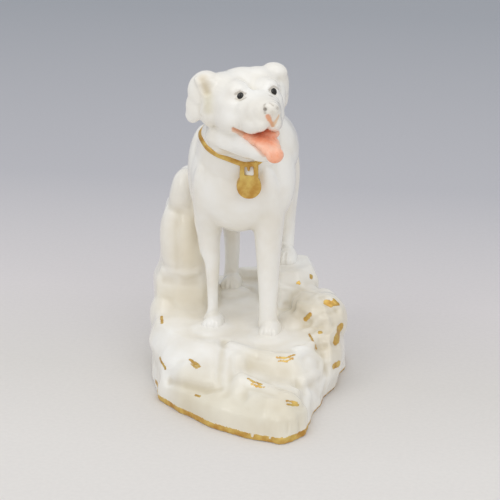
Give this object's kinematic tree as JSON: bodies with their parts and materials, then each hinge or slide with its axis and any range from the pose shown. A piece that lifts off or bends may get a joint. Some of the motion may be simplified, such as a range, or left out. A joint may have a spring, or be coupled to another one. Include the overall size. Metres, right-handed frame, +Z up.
{
  "type": "porcelain dog figure",
  "caption": "White glazed porcelain dog standing on a hollow rocky mound, propped by a stump, with turned head, open mouth, and gilt collar and padlock; a shelf ornament.",
  "frame": {"origin": "on the floor under the middle of the mound's outline", "axes": "+Z up, the dog's body faces -Y, its left side is +X"},
  "size_m": [0.0728, 0.1, 0.1164],
  "materials": {
    "white_porcelain": "glossy clear glaze over white porcelain, with gilt brush marks on the rocks and black painted eyes",
    "pink_enamel": "glossy pink enamel fired on the glaze",
    "gilding": "worn burnished gilding fired on the glaze"
  },
  "bodies": {
    "root": {"rock_base": "white_porcelain", "top_rock": "white_porcelain", "middle_rock": "white_porcelain", "low_rock": "white_porcelain", "stump": "white_porcelain", "torso": "white_porcelain", "head": "white_porcelain", "lower_jaw": "white_porcelain", "ear_left": "white_porcelain", "ear_right": "white_porcelain", "foreleg_left": "white_porcelain", "foreleg_right": "white_porcelain", "hind_leg_left": "white_porcelain", "hind_leg_right": "white_porcelain", "tail": "white_porcelain", "tongue": "pink_enamel", "collar": "gilding", "padlock": "gilding"}
  },
  "joints": []
}
